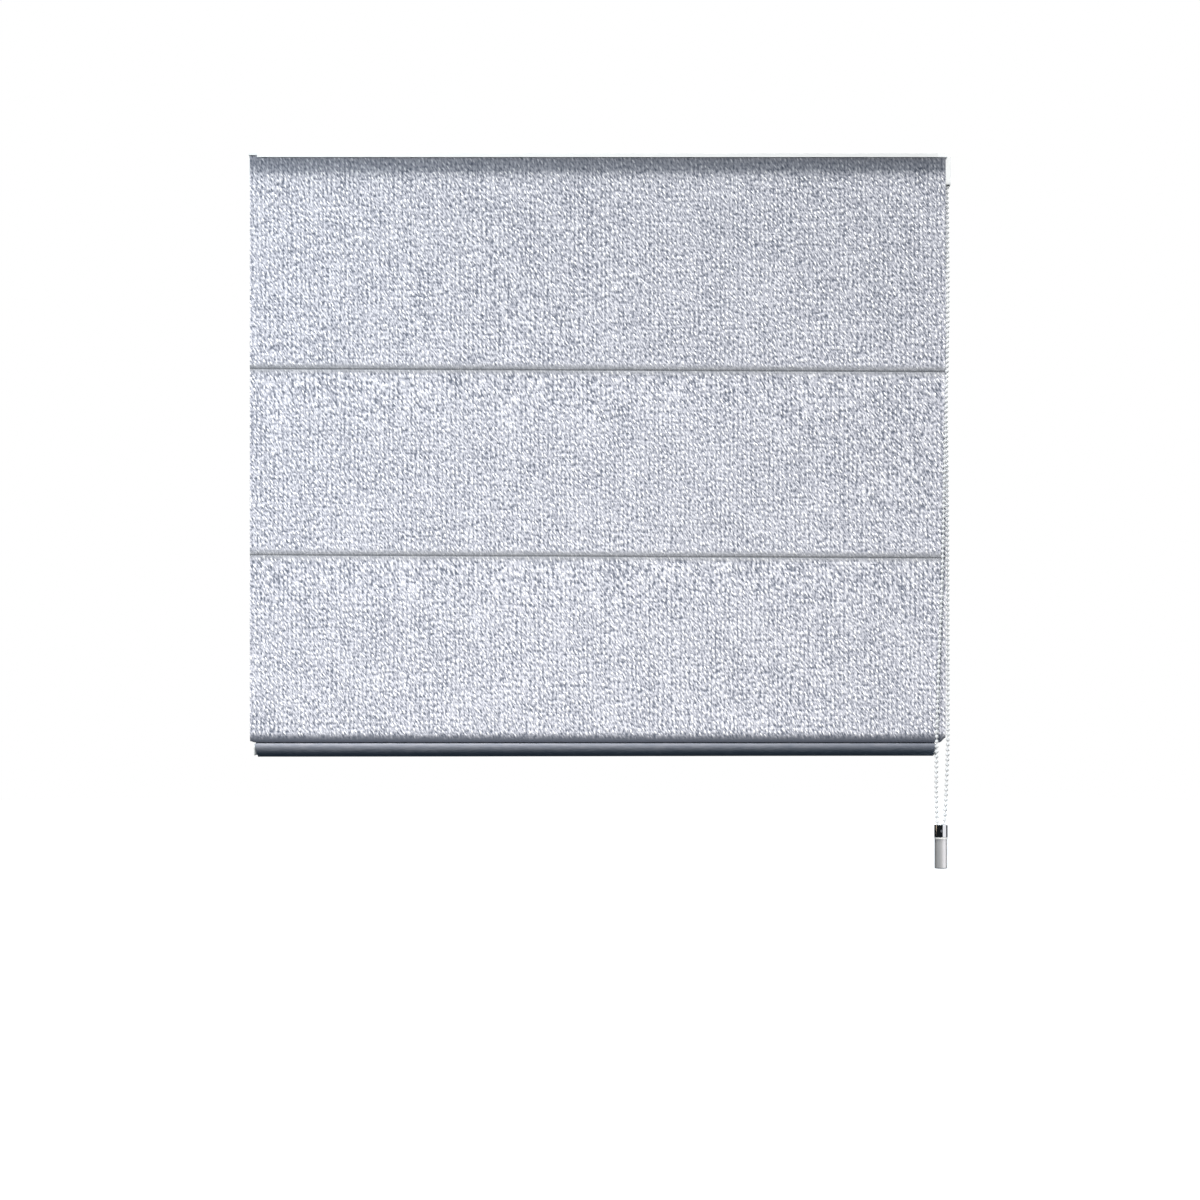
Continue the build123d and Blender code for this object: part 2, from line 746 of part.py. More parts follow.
def bar_oval(grow):
    """The bar's outline, grown all round."""
    return oval(bar_depth + 2 * grow, bar_height + 2 * grow, hem_middle_y, hem_middle_z, hem_lean)


def bottom_bar():
    """Oval tube that keeps the blind's foot straight and weighs it down."""
    return along_x(bar_oval(0) - bar_oval(-bar_wall), hem_left, hem_right)


def bar_end_cap(side):
    """Plug for the bar's end."""
    end, way = (hem_left, -1) if side == "left" else (hem_right, 1)
    lid = along_x(bar_oval(bar_lid_rim), *sorted((end, end + way * bar_cap)))
    plug = bar_oval(-bar_wall - 2 * hole_slack)
    return lid + along_x(plug, *sorted((end, end - way * bar_plug_length)))


def cord_anchor(x):
    """Block on the hem's tail that a lift cord is knotted in."""
    front = hem_back + sewn_gap
    top = hem_tail_top - anchor_drop
    middle = (x, front + anchor_depth / 2, top - anchor_height / 2)
    body = Pos(*middle) * Box(anchor_width, anchor_depth, anchor_height)
    body = fillet(body.edges().filter_by(Axis.Z), anchor_corner)
    return body - rod_z(cord_radius + anchor_hole_slack, top - anchor_height, top, x, cord_y)


keep("bottom_bar", bottom_bar())
keep("bar_end_cap_left", bar_end_cap("left"))
keep("bar_end_cap_right", bar_end_cap("right"))
keep("hem_pocket", hem_pocket())
keep("cord_anchors", *[cord_anchor(x) for x in spool_places.values()])

cord_foot = hem_tail_top - anchor_drop - anchor_height
for word, x in spool_places.items():
    keep("lift_cord_" + word, rod_z(cord_radius, cord_foot, cord_top, x, cord_y))

# ---------------------------------------------------------------- chain and weight


def corner_radii(points):
    """For each corner, 0.45 of its shorter run over the tangent of half its turn."""
    radii = []
    for before, corner, after in zip(points, points[1:], points[2:]):
        run_in, run_out = corner - before, after - corner
        half_turn = math.radians(run_in.get_angle(run_out)) / 2
        radii.append(0.45 * min(run_in.length, run_out.length) / math.tan(half_turn))
    return radii


def control_chain():
    """The chain as one tube as thick as its beads."""
    points = [Vector(chain_x + dx, shaft_y + dy, z) for dx, dy, z in chain_route]
    radii = corner_radii(points)
    print("chain radii", [round(r, 1) for r in radii])
    route = FilletPolyline(*points, radius=radii)
    start = Plane(points[0], z_dir=points[1] - points[0])
    tube = sweep(start * Circle(bead_radius), path=route)
    print("chain length", round(route.length, 1), "volume ratio", round(
        tube.volume / (math.pi * bead_radius**2 * route.length), 4
    ))
    return tube


def weight_collar():
    """Bright cup that the chain goes into."""
    collar = rod_z(collar_radius, collar_bottom, collar_top, weight_x, weight_y)
    rims = collar.edges().filter_by(GeomType.CIRCLE)
    collar = fillet(rims, collar_edge)
    collar -= rod_z(
        collar_radius - collar_wall, collar_bottom + collar_floor, collar_top, weight_x, weight_y
    )
    reach = collar_radius + collar_wall
    hole = rod_y(pin_radius + pin_slack, weight_y - reach, weight_y + reach, weight_x, pin_z)
    return collar - hole


def weight_body():
    """Satin cylinder, a little rounded at its foot, with a spigot through the ring."""
    body = rod_z(body_radius, weight_bottom, ring_bottom, weight_x, weight_y)
    body = fillet(body.edges().sort_by(Axis.Z)[0], body_edge)
    return body + rod_z(spigot_radius, ring_bottom, collar_bottom, weight_x, weight_y)


keep("control_chain", control_chain())
keep("weight_collar", weight_collar())
keep(
    "weight_ring",
    rod_z(ring_outer, ring_bottom, collar_bottom, weight_x, weight_y)
    - rod_z(spigot_radius + spigot_slack, ring_bottom, collar_bottom, weight_x, weight_y),
)
keep("weight_body", weight_body())
pin_reach = math.sqrt(collar_radius**2 - pin_radius**2) - pin_recess
keep("weight_pin", rod_y(pin_radius, weight_y - pin_reach, weight_y + pin_reach, weight_x, pin_z))

# ---------------------------------------------------------------- write one file per node

os.makedirs("parts", exist_ok=True)
for name, shape in nodes.items():
    export_step(shape, f"parts/{name}.step")
print(len(nodes), "nodes")
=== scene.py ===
# %% [markdown]
# # A roman blind, dressed in Blender
#
# The blind is a flat cloth that hangs from a white headrail in three panels. A bead chain at
# its right turns a shaft in the headrail, and three cords lift the cloth from behind.
#
# The shapes that have to fit each other come from the CAD model, which is loaded first and
# stays as it is. This lesson adds what CAD does badly: cloth, beads and surface finishes.

# %% Load the model
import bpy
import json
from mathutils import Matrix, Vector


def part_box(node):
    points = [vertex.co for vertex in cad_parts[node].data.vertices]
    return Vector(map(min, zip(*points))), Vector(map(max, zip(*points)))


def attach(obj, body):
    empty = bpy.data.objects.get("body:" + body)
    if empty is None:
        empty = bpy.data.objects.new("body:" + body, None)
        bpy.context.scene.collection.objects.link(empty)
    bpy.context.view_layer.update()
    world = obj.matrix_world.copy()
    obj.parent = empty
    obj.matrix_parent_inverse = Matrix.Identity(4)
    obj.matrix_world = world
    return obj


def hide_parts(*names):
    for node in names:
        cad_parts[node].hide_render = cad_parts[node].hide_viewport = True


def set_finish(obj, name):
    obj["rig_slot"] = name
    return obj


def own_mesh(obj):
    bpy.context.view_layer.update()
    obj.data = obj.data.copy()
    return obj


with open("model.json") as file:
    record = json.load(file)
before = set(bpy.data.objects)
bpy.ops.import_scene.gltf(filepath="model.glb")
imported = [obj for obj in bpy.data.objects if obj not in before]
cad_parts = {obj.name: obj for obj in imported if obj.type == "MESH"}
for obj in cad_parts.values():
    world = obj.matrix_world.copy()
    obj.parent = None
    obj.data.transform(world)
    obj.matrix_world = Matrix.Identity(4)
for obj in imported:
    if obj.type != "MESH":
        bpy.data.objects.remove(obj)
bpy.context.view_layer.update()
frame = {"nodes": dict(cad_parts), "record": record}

import json
import math
import bmesh
import bpy
from mathutils import Vector, noise

nodes = frame["nodes"]

# %% [markdown]
# ## Camera
#
# The blind is seen straight from the front and from far away, so that its edges stay parallel.
# A long lens does that: at 4 m a 100 mm lens takes in about 1.44 m, which is the whole blind
# with room round it. The camera is level, and its height is the middle of the view.

# %% Camera
view_middle = Vector((0.0027, -0.0231, -0.5358))
view_width = 1.44
camera_distance = 4.0

camera_data = bpy.data.cameras.new("camera")
camera_data.sensor_width = 36.0
camera_data.lens = camera_data.sensor_width * camera_distance / view_width
camera = bpy.data.objects.new("camera", camera_data)
camera.location = view_middle + Vector((0.0, -camera_distance, 0.0))
camera.rotation_euler = (math.radians(90), 0.0, 0.0)
bpy.context.scene.collection.objects.link(camera)
bpy.context.scene.camera = camera
print("lens", round(camera_data.lens, 1), "mm")

# %% [markdown]
# ## The bead chain's line
#
# The chain is an endless loop of moulded beads. It comes out of the drive unit in front, goes
# down round the cloth's edge to a metal weight, turns round the pin in it, and goes up again
# beside the cloth. A NURBS curve through a few points gives that line, because a chain under a
# weight hangs in long easy curves. Its ends meet on top of the chain wheel.
#
# The points are distances from the wheel's plane, in millimetres.

# %% The chain's curve
CHAIN_POINTS = [
    (0.0, 4.6, -10.02), (0.0, -5.58, -10.02), (0.0, -13.48, -17.92), (0.0, -13.8, -40.0),
    (0.1, -17.0, -78.0), (0.0, -21.2, -132.0), (-0.1, -25.4, -190.0), (-1.2, -26.3, -252.0),
    (-3.0, -26.5, -316.0), (-4.4, -26.6, -380.0), (-5.6, -26.7, -444.0), (-7.0, -26.8, -506.0),
    (-9.2, -26.9, -566.0), (-11.6, -27.1, -626.0), (-13.5, -27.4, -686.0), (-14.4, -27.8, -744.0),
    (-14.3, -28.0, -784.0), (-13.2, -28.0, -802.0), (-12.8, -28.0, -808.5),
    (-12.75, -28.0, -813.7), (-10.45, -28.0, -816.0), (-7.15, -28.0, -816.0),
    (-4.85, -28.0, -813.7), (-4.8, -28.0, -808.5), (-4.4, -28.0, -802.0), (-3.3, -27.8, -784.0),
    (-1.7, -26.2, -748.0), (0.1, -23.2, -710.0), (0.4, -19.6, -656.0), (0.8, -15.5, -594.0),
    (1.1, -11.4, -532.0), (1.2, -7.5, -470.0), (1.1, -3.7, -408.0), (0.9, 0.0, -346.0),
    (0.7, 3.5, -284.0), (0.5, 6.8, -222.0), (0.3, 9.7, -162.0), (0.2, 11.9, -106.0),
    (0.0, 13.3, -62.0), (0.0, 13.7, -38.0), (0.0, 13.48, -17.92), (0.0, 6.7, -11.14),
]
wheel_plane = 0.4201
bead_pitch = 0.006
bead_diameter = 0.0045


def nurbs(name, points, resolution=12):
    """A smooth open curve that has these points as its control points."""
    curve = bpy.data.curves.new(name, "CURVE")
    curve.dimensions = "3D"
    curve.resolution_u = resolution
    spline = curve.splines.new("NURBS")
    spline.points.add(len(points) - 1)
    for point, place in zip(spline.points, points):
        point.co = (*place, 1.0)
    spline.order_u = 3
    spline.use_endpoint_u = True
    return curve


def line_of(curve):
    """The points that Blender draws the curve through, in order."""
    holder = bpy.data.objects.new("line", curve)
    mesh = bpy.data.meshes.new_from_object(holder)
    line = [v.co.copy() for v in mesh.vertices]
    bpy.data.objects.remove(holder)
    bpy.data.meshes.remove(mesh)
    return line


def walk(line, step):
    """(place, direction) every so far along a line."""
    found = []
    travelled = 0.0
    goal = 0.0
    for a, b in zip(line, line[1:]):
        run = (b - a).length
        while run > 0 and goal <= travelled + run:
            found.append((a.lerp(b, (goal - travelled) / run), (b - a).normalized()))
            goal += step
        travelled += run
    return found, travelled


chain_curve = nurbs(
    "chain_line", [(wheel_plane + dx / 1000, y / 1000, z / 1000) for dx, y, z in CHAIN_POINTS]
)
chain_line = line_of(chain_curve)
beads, chain_length = walk(chain_line, bead_pitch)
print("chain", round(chain_length, 4), "m,", len(beads), "beads")

# %% [markdown]
# ## Working with Blender's modelling tools
#
# Blender's operators act on whatever is selected, and loading the model leaves all of it
# selected. So nothing is selected before a new piece is added. A few helpers keep the cells
# short: one starts a piece, one picks faces by their place, and one ends a piece with its
# origin at the middle of the room, as the CAD pieces have it.

# %% Helpers for modelling
def select_nothing():
    """Start from an empty selection, in object mode."""
    if bpy.context.object and bpy.context.object.mode != "OBJECT":
        bpy.ops.object.mode_set(mode="OBJECT")
    bpy.ops.object.select_all(action="DESELECT")


def only(piece):
    """Select one piece alone."""
    select_nothing()
    piece.select_set(True)
    bpy.context.view_layer.objects.active = piece
    return piece


def named(name):
    """The piece that an operator has just added, under its own name."""
    piece = bpy.context.object
    piece.name = piece.data.name = name
    return piece


def pick(piece, mode, wanted):
    """In edit mode, select the faces, edges or vertices whose middle passes a test."""
    only(piece)
    bpy.ops.object.mode_set(mode="EDIT")
    bpy.ops.mesh.select_mode(type=mode)
    bpy.ops.mesh.select_all(action="DESELECT")
    mesh = bmesh.from_edit_mesh(piece.data)
    for item in {"FACE": mesh.faces, "EDGE": mesh.edges, "VERT": mesh.verts}[mode]:
        places = [v.co for v in item.verts] if mode != "VERT" else [item.co]
        middle = sum(places, Vector()) / len(places)
        item.select_set(bool(wanted(piece.matrix_world @ middle)))
    mesh.select_flush_mode()
    bmesh.update_edit_mesh(piece.data)


def done(piece, angle=35.0):
    """Leave edit mode, put the origin at the room's, and smooth all but the sharp edges."""
    if bpy.context.object and bpy.context.object.mode != "OBJECT":
        bpy.ops.object.mode_set(mode="OBJECT")
    only(piece)
    bpy.ops.object.transform_apply(location=True, rotation=True, scale=True)
    bpy.ops.object.shade_smooth_by_angle(angle=math.radians(angle))
    return piece


def apply_modifier(piece, kind, **settings):
    """Add a modifier, set it and make its result the mesh."""
    only(piece)
    modifier = piece.modifiers.new(kind.lower(), kind)
    for key, value in settings.items():
        setattr(modifier, key, value)
    bpy.ops.object.modifier_apply(modifier=modifier.name)


def join(name, pieces):
    """Make several pieces one."""
    only(pieces[0])
    for piece in pieces:
        piece.select_set(True)
    if len(pieces) > 1:
        bpy.ops.object.join()
    return named(name)


def triangles(piece):
    """How many triangles a piece has."""
    return sum(len(face.vertices) - 2 for face in piece.data.polygons)


# %% [markdown]
# ## The chain
#
# A bead is a ball with few faces, since there are over 250 of them. The first one is modelled
# with the two small necks that the string leaves at its poles, and the rest are copies turned
# along the line. The string itself is a thin round tube on the same line.

# %% Chain
def bead_shape():
    """One bead lying along Z, with few faces."""
    select_nothing()
    bpy.ops.mesh.primitive_uv_sphere_add(segments=10, ring_count=7, radius=bead_diameter / 2)
    bead = named("bead")
    pick(bead, "VERT", lambda p: abs(p.z) > bead_diameter * 0.49)
    bpy.ops.transform.resize(value=(1.0, 1.0, 0.93))
    return done(bead, 60)


def strung(bead, places):
    """Copies of the bead at all the places, as one mesh."""
    whole = bmesh.new()
    for place, direction in places:
        turn = direction.to_track_quat("Z", "Y")
        start = len(whole.verts)
        whole.from_mesh(bead.data)
        whole.verts.ensure_lookup_table()
        for v in whole.verts[start:]:
            v.co = turn @ v.co + place
    mesh = bpy.data.meshes.new("beads")
    whole.to_mesh(mesh)
    whole.free()
    piece = bpy.data.objects.new("beads", mesh)
    bpy.context.scene.collection.objects.link(piece)
    return piece


def tube_on(name, line, radius, sides=8):
    """A closed round tube that follows a line."""
    curve = bpy.data.curves.new(name, "CURVE")
    curve.dimensions = "3D"
    curve.bevel_depth = radius
    curve.bevel_resolution = max(0, sides // 4 - 1)
    curve.use_fill_caps = True
    spline = curve.splines.new("POLY")
    spline.points.add(len(line) - 1)
    for point, place in zip(spline.points, line):
        point.co = (*place, 1.0)
    holder = bpy.data.objects.new(name, curve)
    mesh = bpy.data.meshes.new_from_object(holder)
    mesh.name = name
    bpy.data.objects.remove(holder)
    piece = bpy.data.objects.new(name, mesh)
    bpy.context.scene.collection.objects.link(piece)
    return piece


first_bead = bead_shape()
bead_copies = strung(first_bead, beads)
bpy.data.objects.remove(first_bead)
string = tube_on("string", [place for place, _ in beads], 0.0005)
chain = done(join("bead_chain", [bead_copies, string]), 60)
print("chain has", triangles(chain), "triangles")

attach(chain, "headrail_body")
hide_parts("control_chain")
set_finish(chain, "bead_plastic")

# %% [markdown]
# ## The cloth
#
# The cloth is one sheet: three flat panels with a cross seam between them, and a fold at the
# foot that goes back up behind. At a seam the panel above ends in a small rounded lip, and the
# one below starts a little further back and comes forward again slowly. So light from above
# leaves a soft grey band over each seam, a thin dark line in it and a paler one under it.
#
# The sheet is a fine grid. Each column of points follows the same side line, and small changes
# from column to column keep it from looking machine-made: the seams run a little downhill, the
# panels belly by a few tenths of a millimetre, and the foot fold pulls up at its ends.

# %% The cloth's side line
# Lengths are in metres, and heights are counted from the ceiling down.
cloth_low, cloth_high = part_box("cloth")
cloth_front = cloth_low.y
cloth_left, cloth_right = cloth_low.x, cloth_high.x
foot_low, cloth_top = cloth_low.z, cloth_high.z
THICKNESS = 0.0008
UPPER_SEAM, LOWER_SEAM = -0.260, -0.4835
SEAM_FALL = 0.0018
FOLD_REACH = 0.0052
FOLD_DROP = 0.0125
RETURN_TOP = 0.0162


def smooth(low, high, value):
    """0 below low, 1 above high, and an S-curve between them."""
    t = min(1.0, max(0.0, (value - low) / (high - low)))
    return t * t * (3 - 2 * t)


def seam_height(seam, x):
    """The seams hang a little lower at the right."""
    ripple = 0.0003 * noise.noise(Vector((x * 9, seam * 50, 0)))
    return seam + SEAM_FALL * (0.5 - x / cloth_right) + ripple


# Under a seam: how far down, and how far the cloth is held back there.
LIP_DEPTH, LIP_RISE = 0.00028, 0.006
SEAM_LINE = [(0.0, LIP_DEPTH), (0.0006, 0.0009), (0.002, 0.0006), (0.010, 0.00062), (0.070, 0.0)]
BELLY_DEPTH = 0.0005


def drawn_back(x, z):
    """How far the seams hold the cloth back at a height."""
    depth = 0.0
    for seam in (UPPER_SEAM, LOWER_SEAM):
        away = z - seam_height(seam, x)
        if away >= 0:
            depth += LIP_DEPTH * max(0.0, 1 - away / LIP_RISE) ** 2
        for (start, a), (end, b) in zip(SEAM_LINE, SEAM_LINE[1:]):
            if start < -away <= end:
                depth += a + (b - a) * (-away - start) / (end - start)
    return depth


def belly(x, z):
    """The slight waves of a hanging cloth, none where it is held."""
    held = smooth(0.045, 0.10, -z)
    for seam in (UPPER_SEAM, LOWER_SEAM, foot_low):
        held *= smooth(0.012, 0.05, abs(z - seam))
    wave = noise.noise(Vector((x * 5.0, z * 3.5, 3.0)))
    wave += 0.5 * noise.noise(Vector((x * 12.0, z * 7.0, 8.0)))
    return BELLY_DEPTH * held * wave


PANEL_ROWS, LIP_ROWS, SEAM_ROWS = 36, 10, 5


def panel_heights(x):
    """Heights of the sheet's rows from the top down, closer together near the seams."""
    rows = []
    edges = [cloth_top] + [seam_height(s, x) for s in (UPPER_SEAM, LOWER_SEAM)]
    edges.append(foot_low + FOLD_DROP)
    for top, bottom in zip(edges, edges[1:]):
        if top != edges[0]:
            for (start, _), (end, _) in zip(SEAM_LINE, SEAM_LINE[1:]):
                rows += [
                    top - start - (end - start) * i / SEAM_ROWS for i in range(SEAM_ROWS)
                ]
            top -= SEAM_LINE[-1][0]
        seam_below = bottom != edges[-1]
        lower = bottom + (LIP_RISE if seam_below else 0.0)
        rows += [top + (lower - top) * i / PANEL_ROWS for i in range(PANEL_ROWS)]
        if seam_below:
            rows += [lower - LIP_RISE * i / LIP_ROWS for i in range(LIP_ROWS)]
    return rows + [edges[-1]]


PULL_RIGHT, PULL_LEFT = 0.0055, 0.0015
FOLD_ROWS = 24


def cloth_column(x):
    """The front line of the sheet at one place along it, as (y, z) pairs."""
    line = []
    for z in panel_heights(x):
        line.append((cloth_front + drawn_back(x, z) - belly(x, z), z))
    right_pull = PULL_RIGHT * smooth(cloth_right - 0.0075, cloth_right, x) ** 1.3
    left_pull = PULL_LEFT * smooth(0.0, 0.006, cloth_left + 0.006 - x)
    pull = right_pull + left_pull
    middle_y = cloth_front + FOLD_REACH
    middle_z = foot_low + FOLD_DROP
    for i in range(1, FOLD_ROWS + 1):
        turn = math.pi * i / FOLD_ROWS
        drop = (FOLD_DROP - pull) * math.sin(turn)
        line.append((middle_y - FOLD_REACH * math.cos(turn), middle_z - drop))
    for i in range(1, 4):
        line.append((middle_y + FOLD_REACH, middle_z + (RETURN_TOP - FOLD_DROP) * i / 3))
    return line


print("cloth", round(cloth_right - cloth_left, 4), "m wide,", len(cloth_column(0.0)), "rows")

# %% [markdown]
# The grid of points becomes one skin, and Solidify gives it its 0.8 mm on the inner side. The
# last few millimetres at the left reach a little higher, into the end cap's thinner hood.

# %% The cloth's sheet
CLOTH_SPACING = 0.0075
HOOD_REACH, HOOD_RISE = 0.0085, 0.0024


def sheet_from_columns(name, columns, inward=True):
    """Join columns of points with faces, then give the skin the cloth's thickness."""
    mesh = bpy.data.meshes.new(name)
    count = len(columns[0])
    points = [point for column in columns for point in column]
    faces = []
    for i in range(len(columns) - 1):
        for j in range(count - 1):
            a = i * count + j
            faces.append((a, a + 1, a + count + 1, a + count))
    mesh.from_pydata(points, [], faces)
    piece = bpy.data.objects.new(name, mesh)
    bpy.context.scene.collection.objects.link(piece)
    offset = -1.0 if inward else 0.0
    apply_modifier(
        piece, "SOLIDIFY", thickness=THICKNESS, offset=offset, use_even_offset=True
    )
    return done(piece, 60)


def columns_between(left, right, spacing):
    """Places along the blind, closer together near both ends."""
    count = int((right - left) / spacing)
    places = [left + (right - left) * i / count for i in range(count + 1)]
    ends = [0.0012, 0.0025, 0.004, 0.0055, 0.007]
    places += [left + e for e in ends] + [right - e for e in ends]
    return sorted(places)


cloth_columns = []
for x in columns_between(cloth_left, cloth_right, CLOTH_SPACING):
    column = [(x, y, z) for y, z in cloth_column(x)]
    if x < cloth_left + HOOD_REACH:
        column[0] = (x, column[0][1], cloth_top + HOOD_RISE)
    cloth_columns.append(column)
cloth = sheet_from_columns("cloth_sheet", cloth_columns)
print("cloth has", triangles(cloth), "triangles")

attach(cloth, "headrail_body")
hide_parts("cloth")
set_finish(cloth, "cloth")

# %% [markdown]
# ## Batten pockets and the hem
#
# Behind each seam a thin rod keeps the cloth straight. It lies in a sewn tunnel of lining
# cloth, and so does the bar at the foot. A tunnel is a strip that goes round the rod and back
# to where it began, with its edge sewn on above. Its side line is drawn as one path: down the
# tail, round under the rod, up in front, over the top and back to the tail.

# %% Tunnels
POCKET_DEPTH, POCKET_HEIGHT = 0.0074, 0.0094
TAIL_ROWS, OVAL_ROWS = 6, 32
TUNNEL_SPACING = 0.012


def oval(middle, depth, height, lean):
    """Points round an upright ellipse, from its back down, under, up in front and over the top."""
    points = []
    for i in range(OVAL_ROWS + 1):
        turn = -2 * math.pi * i / OVAL_ROWS
        across, up = depth / 2 * math.cos(turn), height / 2 * math.sin(turn)
        points.append(middle + Vector((
            across * math.cos(lean) - up * math.sin(lean),
            across * math.sin(lean) + up * math.cos(lean),
        )))
    return points


def tunnel_columns(left, right, middle, depth, height, tail_y, tail_top, lean=0.0, change=None):
    """Columns for a tunnel and its tail, from its left end to its right end."""
    columns = []
    for x in columns_between(left, right, TUNNEL_SPACING):
        loop = oval(Vector(middle), depth, height, lean)
        start = Vector((tail_y, loop[0].y))
        tail_end = Vector((tail_y, tail_top))
        tail = [start.lerp(tail_end, 1 - i / TAIL_ROWS) for i in range(TAIL_ROWS)]
        column = [(x, p.x, p.y) for p in tail + loop]
        columns.append([change(*p) for p in column] if change else column)
    return columns


pockets = []
for word in ("upper", "lower"):
    low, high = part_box("batten_pocket_" + word)
    rod_low, rod_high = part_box("batten_rod_" + word)
    middle_z = (rod_low.z + rod_high.z) / 2
    middle_y = (rod_low.y + rod_high.y) / 2
    columns = tunnel_columns(
        low.x, high.x, (middle_y, middle_z), POCKET_DEPTH - THICKNESS,
        POCKET_HEIGHT - THICKNESS, low.y + THICKNESS / 2, high.z,
    )
    pocket = sheet_from_columns("pocket_" + word, columns, inward=False)
    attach(pocket, word + "_batten")
    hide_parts("batten_pocket_" + word)
    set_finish(pocket, "cloth")
    pockets.append(pocket)
    print(pocket.name, triangles(pocket), "triangles")

# %% [markdown]
# The hem is one more tunnel, round the bar at the foot. It is larger than a pocket and leans
# with the bar. Its two ends are tucked in a little, since cut cloth never ends quite straight.

# %% The hem
hem_low, hem_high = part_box("hem_pocket")
HEM_LEAN = math.radians(20)
HEM_DEPTH, HEM_HEIGHT = 0.0092, 0.0164
TUCK_LEFT, TUCK_RIGHT = 0.0030, 0.0018
bar_low, bar_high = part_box("bottom_bar")
hem_middle = ((bar_low.y + bar_high.y) / 2, (bar_low.z + bar_high.z) / 2)


def hem_wave(x, y, z):
    """A hem is never quite even: it sags a little at the left and lifts at the right."""
    below = smooth(0.7105, 0.7225, -z)
    lift = -0.0007 + 0.0011 * smooth(cloth_left, cloth_right, x)
    ripple = 0.00035 * noise.noise(Vector((x * 22, y * 60, z * 60)))
    tuck = TUCK_LEFT * (1 - smooth(hem_low.x, hem_low.x + 0.03, x))
    tuck -= TUCK_RIGHT * smooth(hem_high.x - 0.02, hem_high.x, x)
    return (x + tuck * below, y - abs(ripple) * below, z + lift * below)


hem = sheet_from_columns(
    "hem_sheet",
    tunnel_columns(
        hem_low.x, hem_high.x, hem_middle, HEM_DEPTH - THICKNESS, HEM_HEIGHT - THICKNESS,
        hem_high.y - THICKNESS / 2, hem_high.z, HEM_LEAN, hem_wave,
    ),
    inward=False,
)
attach(hem, "foot")
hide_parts("hem_pocket")
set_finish(hem, "cloth")
print("hem has", triangles(hem), "triangles")

# %% [markdown]
# ## The lift cords and the turns on the spools
#
# Each lift cord is a thin braid that runs from its spool down through two rings to a knot in
# the hem. It stays taut, so it is a straight tube. The last turns stay on the spool when the
# blind is right down: a helix, one cord's width a turn.

# %% Cords
SPOOLS = {"left": -0.29, "centre": 0.0, "right": 0.29}
SAFETY_TURNS = 3
TURN_STEPS = 96
cords = []
for word in SPOOLS:
    low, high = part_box("lift_cord_" + word)
    middle = (low + high) / 2
    line = [Vector((middle.x, middle.y, high.z + (low.z - high.z) * i / 60)) for i in range(61)]
    cord = done(tube_on("cord_" + word, line, (high.x - low.x) / 2, 12), 60)
    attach(cord, "headrail_body")
    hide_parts("lift_cord_" + word)
    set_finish(cord, "cord")
    cords.append((cord, low, high))
print(len(cords), "lift cords,", triangles(cords[0][0]), "triangles each")

drum_low, drum_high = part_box("wound_cord")
shaft_z = (drum_low.z + drum_high.z) / 2
cord_radius = 0.0006
turn_radius = (drum_high.z - drum_low.z) / 2 - cord_radius


def turns_on(x):
    """The safety turns of cord round a spool, as a tube."""
    half = (SAFETY_TURNS - 1) * cord_radius
    line = []
    for i in range(TURN_STEPS + 1):
        share = i / TURN_STEPS
        turn = 2 * math.pi * SAFETY_TURNS * share
        line.append(Vector((
            x - half + 2 * half * share,
            -turn_radius * math.cos(turn),
            shaft_z + turn_radius * math.sin(turn),
        )))
    return tube_on("turns", line, cord_radius, 8)


wound = done(join("wound_turns", [turns_on(x) for x in SPOOLS.values()]), 60)
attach(wound, "drive")
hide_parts("wound_cord")
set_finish(wound, "cord")
print("wound cord has", triangles(wound), "triangles")

# %% [markdown]
# ## Shader sums
#
# A material is a network of nodes, and a sum in it is a Math node. Written as an expression it
# is far easier to read, so one small class stands for a socket and turns +, -, * and ** into
# nodes. Everything else goes through one method that adds a node, sets it and wires it.

# %% A material kit
FULL_TURN = 6.2832


class Wire:
    """The result of a node, which can be used in a sum as a number can."""

    def __init__(self, paint, socket):
        self.paint = paint
        self.socket = socket

    def calc(self, operation, *values):
        """One Math node on these values."""
        return self.paint.add("Math", {"operation": operation}, dict(enumerate(values)))

    def beside(self, result):
        """Another result of the same node."""
        return Wire(self.paint, self.socket.node.outputs[result])

    def __add__(self, other):
        return self.calc("ADD", self, other)

    __radd__ = __add__

    def __sub__(self, other):
        return self.calc("SUBTRACT", self, other)

    def __rsub__(self, other):
        return self.calc("SUBTRACT", other, self)

    def __mul__(self, other):
        return self.calc("MULTIPLY", self, other)

    __rmul__ = __mul__

    def __pow__(self, other):
        return self.calc("POWER", self, other)


